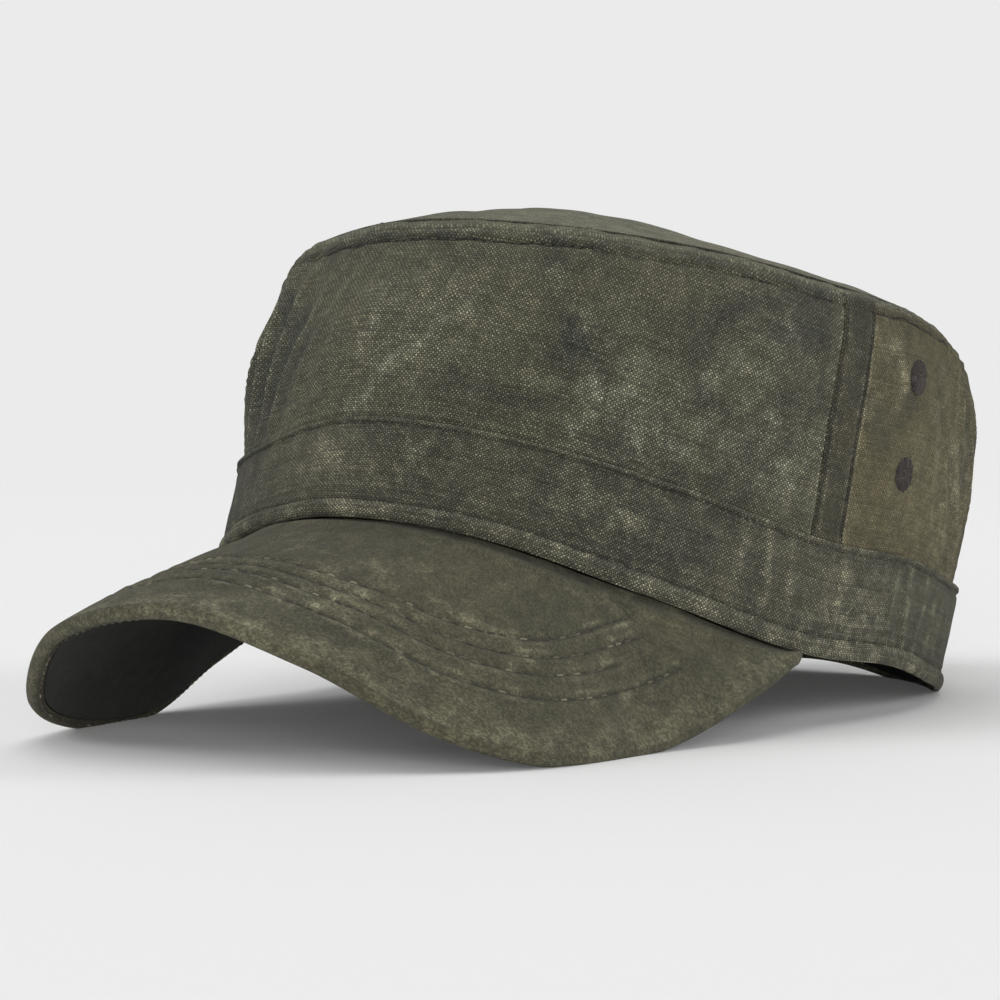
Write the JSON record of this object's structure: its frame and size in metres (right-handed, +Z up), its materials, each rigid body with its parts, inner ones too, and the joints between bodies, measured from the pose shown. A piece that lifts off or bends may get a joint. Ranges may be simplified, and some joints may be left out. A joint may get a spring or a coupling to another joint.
{
  "type": "patrol cap",
  "caption": "Soft flat-topped field cap of washed olive canvas, with a sewn band, an arched stiff peak, side seams and small sewn eyelets.",
  "frame": {"origin": "on the resting surface, under the middle of the cap's bounding box", "axes": "+Z up, -Y towards the peak's outer edge, +X towards the wearer's left"},
  "size_m": [0.1708, 0.277, 0.122],
  "materials": {
    "crown_canvas": "washed olive canvas, coarse plain weave, matt",
    "crown_canvas_back": "washed olive canvas, slightly browner, matt",
    "band_canvas": "washed slate olive canvas, coarse plain weave, matt",
    "peak_canvas": "washed olive canvas over a stiffener, rows of dark stitches",
    "peak_under_cloth": "dark olive cloth, matt",
    "dark_lining_tape": "black woven tape, matt",
    "eyelet_thread": "dark brown sewing thread, slightly glossy"
  },
  "bodies": {
    "root": {"front_panel": "crown_canvas", "back_panel": "crown_canvas_back", "side_seam_left": "crown_canvas", "side_seam_right": "crown_canvas", "top_panel": "crown_canvas", "hatband": "band_canvas", "sweatband": "dark_lining_tape", "peak_top": "peak_canvas", "peak_under": "peak_under_cloth", "eyelet_left_upper": "eyelet_thread", "eyelet_left_lower": "eyelet_thread", "eyelet_right_upper": "eyelet_thread", "eyelet_right_lower": "eyelet_thread"}
  },
  "joints": []
}
